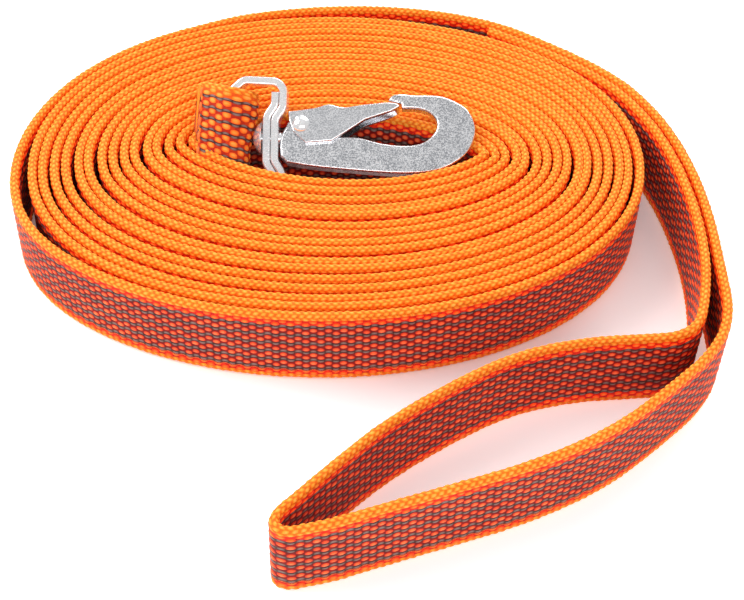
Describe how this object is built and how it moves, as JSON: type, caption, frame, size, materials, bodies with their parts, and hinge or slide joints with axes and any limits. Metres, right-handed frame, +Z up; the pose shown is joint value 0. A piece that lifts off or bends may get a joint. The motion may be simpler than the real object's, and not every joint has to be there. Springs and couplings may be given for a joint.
{
  "type": "training leash",
  "caption": "Long training leash of flat woven webbing, wound into an oval coil, with a sewn hand loop and a swivelling snap hook on the inner end.",
  "frame": {"origin": "on the coil's underside, in front of its hollow, level with the snap hook's middle", "axes": "+Z up, +X along the coil's length towards the hand loop's side, +Y away from the hand loop's free end"},
  "size_m": [0.1598, 0.1627, 0.0301],
  "materials": {
    "webbing": "woven",
    "thread": "twisted",
    "plated_steel": "zinc plated",
    "spring_steel": "bright"
  },
  "bodies": {
    "webbing": {"webbing_coil": "webbing", "lead_run": "webbing", "hand_loop": "webbing", "clip_eye": "webbing", "loop_stitching": "thread", "clip_stitching": "thread"},
    "bow": {"bow": "plated_steel"},
    "hook": {"hook_body": "plated_steel", "swivel_rivet": "plated_steel", "gate_rivet": "plated_steel", "gate_spring": "spring_steel"},
    "gate": {"gate": "plated_steel"}
  },
  "joints": [
    {"name": "bow_hinge", "type": "hinge", "parent": "webbing", "child": "bow", "pos_m": [-0.03484, 0.0333, 0.01816], "axis": [0.0122, -0.7072, -0.7069], "range_deg": [0, 40]},
    {"name": "hook_swivel", "type": "hinge", "parent": "bow", "child": "hook", "pos_m": [-0.024, 0.03308, 0.01856], "axis": [0.9991, -0.0197, 0.037], "range_deg": [0, 120]},
    {"name": "gate_hinge", "type": "hinge", "parent": "hook", "child": "gate", "pos_m": [-0.01787, 0.03473, 0.02143], "axis": [0.0419, 0.4691, -0.8822], "range_deg": [0, 20], "stiffness_Nm_per_rad": 0.02, "springref_deg": -20.05, "deforming": ["gate_spring"]}
  ]
}
